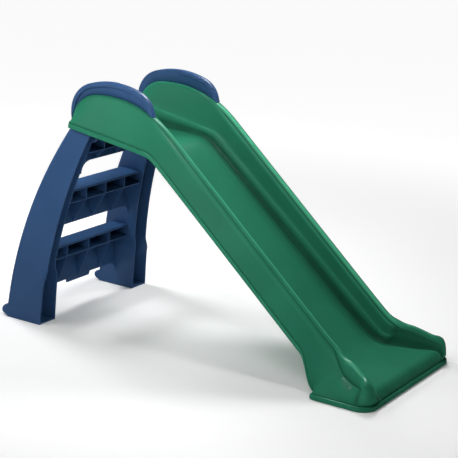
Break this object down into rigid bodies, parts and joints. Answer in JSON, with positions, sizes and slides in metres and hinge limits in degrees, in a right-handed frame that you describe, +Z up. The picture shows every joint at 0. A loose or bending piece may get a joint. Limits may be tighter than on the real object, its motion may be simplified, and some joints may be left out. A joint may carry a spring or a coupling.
{
  "type": "toddler slide",
  "caption": "Folding toddler slide: one moulded slide with a flared foot and arched sides, a curved ladder with ribbed treads that folds under it, and arched hand rails on the arches.",
  "frame": {"origin": "On the floor, at the middle of the overall length and width", "axes": "+X towards the foot of the slide, +Y to the left of a child sliding down, +Z up"},
  "size_m": [0.9762, 0.457, 0.586],
  "materials": {
    "green_plastic": "satin moulded polyethylene",
    "blue_plastic": "satin moulded polyethylene",
    "pin_plastic": "plain moulded plastic"
  },
  "bodies": {
    "slide_unit": {"slide": "green_plastic", "left_handrail": "blue_plastic", "right_handrail": "blue_plastic", "left_pivot_pin": "pin_plastic", "right_pivot_pin": "pin_plastic"},
    "ladder_unit": {"ladder": "blue_plastic"}
  },
  "joints": [
    {"name": "ladder_fold", "type": "hinge", "parent": "slide_unit", "child": "ladder_unit", "pos_m": [-0.28183, 0, 0.493], "axis": [0, -1, 0], "range_deg": [0, 62]}
  ]
}
